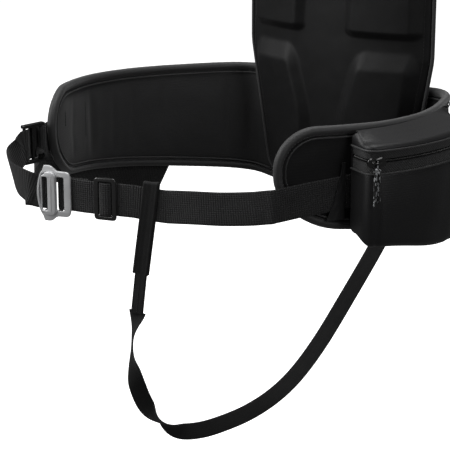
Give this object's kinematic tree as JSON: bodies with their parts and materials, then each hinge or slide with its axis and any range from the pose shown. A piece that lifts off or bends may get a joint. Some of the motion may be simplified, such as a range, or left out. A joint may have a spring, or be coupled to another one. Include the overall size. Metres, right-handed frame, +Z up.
{
  "type": "avalanche pack hip belt",
  "caption": "Padded hip belt and lower back panel of an avalanche-airbag backpack, with webbing, metal hook buckle, leg loop strap and zipped hip pocket.",
  "frame": {"origin": "on the centre line of the frame sheet's flat rear face, where the pack bag is fastened", "axes": "+Z up, +Y out of the rear face towards the pack bag, the wearer stands on the -Y side; left is -X and right is +X"},
  "size_m": [0.5198, 0.4719, 0.5397],
  "materials": {
    "moulded_foam": "matte fabric-laminated moulded foam",
    "wing_fabric": "matte woven nylon over foam",
    "binding": "rolled and stitched nylon edge",
    "webbing": "ribbed nylon webbing, slight sheen",
    "zip_tape": "twill tape",
    "pocket_nylon": "smooth satin nylon",
    "black_plastic": "satin moulded plastic",
    "slider_gloss": "glossy black",
    "buckle_metal": "bead-blasted, brightened edges",
    "stay_metal": "plain bar",
    "pull_cord": "black cord with pale flecks"
  },
  "bodies": {
    "belt": {"back_panel": "moulded_foam", "panel_binding": "binding", "frame_sheet": "black_plastic", "lumbar_core": "moulded_foam", "stay_left": "stay_metal", "stay_right": "stay_metal", "wing_pad_left": "wing_fabric", "wing_shell_left": "wing_fabric", "wing_rim_left": "binding", "wing_pad_right": "wing_fabric", "wing_shell_right": "wing_fabric", "wing_rim_right": "binding", "right_webbing": "webbing", "left_webbing": "webbing", "left_anchor_webbing": "webbing", "ladder_lock": "black_plastic", "buckle_frame": "buckle_metal", "leg_loop": "webbing", "leg_strap": "webbing", "strap_joint": "webbing", "strap_anchor": "webbing", "pocket_body": "pocket_nylon", "pocket_lid": "pocket_nylon", "pocket_back": "pocket_nylon", "zip_tape_lower": "zip_tape", "zip_tape_upper": "zip_tape", "zip_coil": "black_plastic", "pocket_gusset": "pocket_nylon"},
    "tongue": {"buckle_tongue": "buckle_metal"},
    "glide": {"tri_glide": "black_plastic"},
    "slider": {"zip_slider": "slider_gloss"},
    "pull": {"zip_pull": "pull_cord"}
  },
  "joints": [
    {"name": "tongue_tilt", "type": "hinge", "parent": "belt", "child": "tongue", "pos_m": [-0.08822, -0.46031, -0.0835], "axis": [0, 0, -1], "range_deg": [0, 8]},
    {"name": "glide_slide", "type": "slide", "parent": "belt", "child": "glide", "axis": [0.9511, 0.309, 0], "range_m": [-0.006, 0.018]},
    {"name": "zip_travel", "type": "hinge", "parent": "belt", "child": "slider", "pos_m": [0.0663, -0.2086, -0.025], "axis": [0, 0, 1], "range_deg": [0, 38]},
    {"name": "pull_swing", "type": "hinge", "parent": "slider", "child": "pull", "pos_m": [0.2603, -0.3136, -0.025], "axis": [-0.476, -0.8795, 0], "range_deg": [0, 95]}
  ]
}
